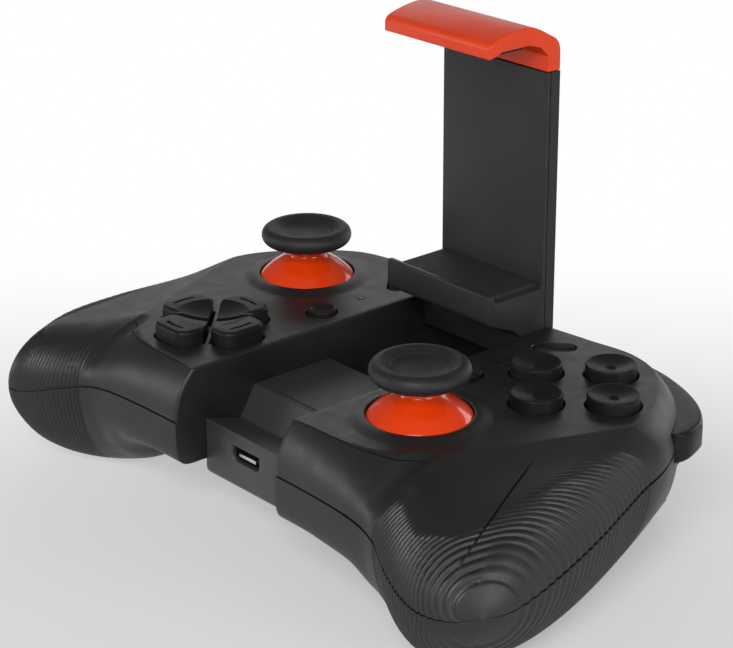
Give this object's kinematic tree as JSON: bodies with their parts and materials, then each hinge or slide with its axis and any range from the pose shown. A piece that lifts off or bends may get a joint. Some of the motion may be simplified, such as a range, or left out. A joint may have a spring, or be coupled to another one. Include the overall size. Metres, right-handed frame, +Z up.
{
  "type": "mobile game controller",
  "caption": "Two-grip wireless game controller with twin thumb sticks, direction keys, face buttons, shoulder triggers and a flip-up sliding phone clamp that folds into a centre channel.",
  "frame": {"origin": "on the table, at the middle of the battery cover's flat face", "axes": "+X across the controller to the face-button side, +Y towards the shoulder buttons, +Z up"},
  "size_m": [0.136, 0.084, 0.09],
  "materials": {
    "shell_plastic": "fine spark-eroded matte",
    "tray_plastic": "matte",
    "cell": "printed film pouch",
    "board": "solder mask",
    "steel": "bright nickel",
    "light": "clear",
    "inner_plastic": "matte",
    "orange": "polished orange-red",
    "rubber": "soft matte",
    "key_plastic": "satin",
    "gloss_black": "polished",
    "clamp_plastic": "satin"
  },
  "bodies": {
    "case": {"top_shell_left": "shell_plastic", "top_shell_right": "shell_plastic", "bottom_shell": "shell_plastic", "channel_tray": "tray_plastic", "battery_cover": "shell_plastic", "battery": "cell", "main_board": "board", "charging_socket": "steel", "light_pipes": "light", "case_screws": "steel", "cover_screws": "steel", "stick_module_left": "inner_plastic", "stick_module_right": "inner_plastic", "pad_membrane": "rubber", "face_membrane": "rubber", "menu_switches": "inner_plastic", "trigger_housing_left": "shell_plastic", "trigger_housing_right": "shell_plastic", "trigger_pins": "steel", "trigger_springs": "steel"},
    "left_gimbal": {"stick_gimbal_left": "inner_plastic"},
    "left_stick": {"stick_dome_left": "orange", "stick_cap_left": "rubber"},
    "right_gimbal": {"stick_gimbal_right": "inner_plastic"},
    "right_stick": {"stick_dome_right": "orange", "stick_cap_right": "rubber"},
    "pad_up_key": {"pad_up": "key_plastic"},
    "pad_down_key": {"pad_down": "key_plastic"},
    "pad_left_key": {"pad_left": "key_plastic"},
    "pad_right_key": {"pad_right": "key_plastic"},
    "north_button": {"face_north": "key_plastic"},
    "east_button": {"face_east": "key_plastic"},
    "south_button": {"face_south": "key_plastic"},
    "west_button": {"face_west": "key_plastic"},
    "left_menu_button": {"menu_left": "key_plastic"},
    "right_menu_button": {"menu_right": "key_plastic"},
    "left_oval_key": {"oval_left": "key_plastic"},
    "right_oval_key": {"oval_right": "key_plastic"},
    "left_bumper": {"bumper_left": "gloss_black"},
    "right_bumper": {"bumper_right": "gloss_black"},
    "left_trigger": {"trigger_left": "gloss_black"},
    "right_trigger": {"trigger_right": "gloss_black"},
    "clamp": {"clamp_arm": "clamp_plastic", "clamp_back": "clamp_plastic", "clamp_jaw_pad": "rubber", "hinge_pin": "steel"},
    "clamp_top": {"clamp_slider": "inner_plastic", "clamp_hook": "orange", "clamp_hook_pad": "rubber"}
  },
  "joints": [
    {"name": "clamp_fold", "type": "hinge", "parent": "case", "child": "clamp", "pos_m": [0, 0.0139, 0.0257], "axis": [1, 0, 0], "range_deg": [-53, 90]},
    {"name": "clamp_extend", "type": "slide", "parent": "clamp", "child": "clamp_top", "axis": [0, 0, 1], "range_m": [0, 0.022]},
    {"name": "left_stick_pitch", "type": "hinge", "parent": "case", "child": "left_gimbal", "pos_m": [-0.03775, -0.0012, 0.0245], "axis": [1, 0, 0], "range_deg": [-16, 16], "stiffness_Nm_per_rad": 0.02},
    {"name": "left_stick_roll", "type": "hinge", "parent": "left_gimbal", "child": "left_stick", "pos_m": [-0.03775, -0.0012, 0.0245], "axis": [0, 1, 0], "range_deg": [-16, 16], "stiffness_Nm_per_rad": 0.02},
    {"name": "right_stick_pitch", "type": "hinge", "parent": "case", "child": "right_gimbal", "pos_m": [0.0282, -0.0305, 0.0245], "axis": [1, 0, 0], "range_deg": [-16, 16], "stiffness_Nm_per_rad": 0.02},
    {"name": "right_stick_roll", "type": "hinge", "parent": "right_gimbal", "child": "right_stick", "pos_m": [0.0282, -0.0305, 0.0245], "axis": [0, 1, 0], "range_deg": [-16, 16], "stiffness_Nm_per_rad": 0.02},
    {"name": "pad_up_press", "type": "slide", "parent": "case", "child": "pad_up_key", "axis": [0, 0, -1], "range_m": [0, 0.0012], "stiffness_N_per_m": 400, "springref_m": -0.001},
    {"name": "pad_down_press", "type": "slide", "parent": "case", "child": "pad_down_key", "axis": [0, 0, -1], "range_m": [0, 0.0012], "stiffness_N_per_m": 400, "springref_m": -0.001},
    {"name": "pad_left_press", "type": "slide", "parent": "case", "child": "pad_left_key", "axis": [0, 0, -1], "range_m": [0, 0.0012], "stiffness_N_per_m": 400, "springref_m": -0.001},
    {"name": "pad_right_press", "type": "slide", "parent": "case", "child": "pad_right_key", "axis": [0, 0, -1], "range_m": [0, 0.0012], "stiffness_N_per_m": 400, "springref_m": -0.001},
    {"name": "north_press", "type": "slide", "parent": "case", "child": "north_button", "axis": [0, 0, -1], "range_m": [0, 0.0012], "stiffness_N_per_m": 400, "springref_m": -0.001},
    {"name": "east_press", "type": "slide", "parent": "case", "child": "east_button", "axis": [0, 0, -1], "range_m": [0, 0.0012], "stiffness_N_per_m": 400, "springref_m": -0.001},
    {"name": "south_press", "type": "slide", "parent": "case", "child": "south_button", "axis": [0, 0, -1], "range_m": [0, 0.0012], "stiffness_N_per_m": 400, "springref_m": -0.001},
    {"name": "west_press", "type": "slide", "parent": "case", "child": "west_button", "axis": [0, 0, -1], "range_m": [0, 0.0012], "stiffness_N_per_m": 400, "springref_m": -0.001},
    {"name": "left_menu_press", "type": "slide", "parent": "case", "child": "left_menu_button", "axis": [0, 0, -1], "range_m": [0, 0.0006], "stiffness_N_per_m": 600, "springref_m": -0.0008},
    {"name": "left_oval_press", "type": "slide", "parent": "case", "child": "left_oval_key", "axis": [0, 0, -1], "range_m": [0, 0.0006], "stiffness_N_per_m": 600, "springref_m": -0.0008},
    {"name": "right_menu_press", "type": "slide", "parent": "case", "child": "right_menu_button", "axis": [0, 0, -1], "range_m": [0, 0.0006], "stiffness_N_per_m": 600, "springref_m": -0.0008},
    {"name": "right_oval_press", "type": "slide", "parent": "case", "child": "right_oval_key", "axis": [0, 0, -1], "range_m": [0, 0.0006], "stiffness_N_per_m": 600, "springref_m": -0.0008},
    {"name": "left_bumper_press", "type": "slide", "parent": "case", "child": "left_bumper", "axis": [0.42, -0.9075, 0], "range_m": [0, 0.0012], "stiffness_N_per_m": 600, "springref_m": -0.0008},
    {"name": "right_bumper_press", "type": "slide", "parent": "case", "child": "right_bumper", "axis": [-0.42, -0.9075, 0], "range_m": [0, 0.0012], "stiffness_N_per_m": 600, "springref_m": -0.0008},
    {"name": "left_trigger_pull", "type": "hinge", "parent": "case", "child": "left_trigger", "pos_m": [0, 0.0144, 0.0146], "axis": [1, 0, 0], "range_deg": [-14, 0], "stiffness_Nm_per_rad": 0.08, "springref_deg": 8.59},
    {"name": "right_trigger_pull", "type": "hinge", "parent": "case", "child": "right_trigger", "pos_m": [0, 0.0144, 0.0146], "axis": [1, 0, 0], "range_deg": [-14, 0], "stiffness_Nm_per_rad": 0.08, "springref_deg": 8.59}
  ]
}
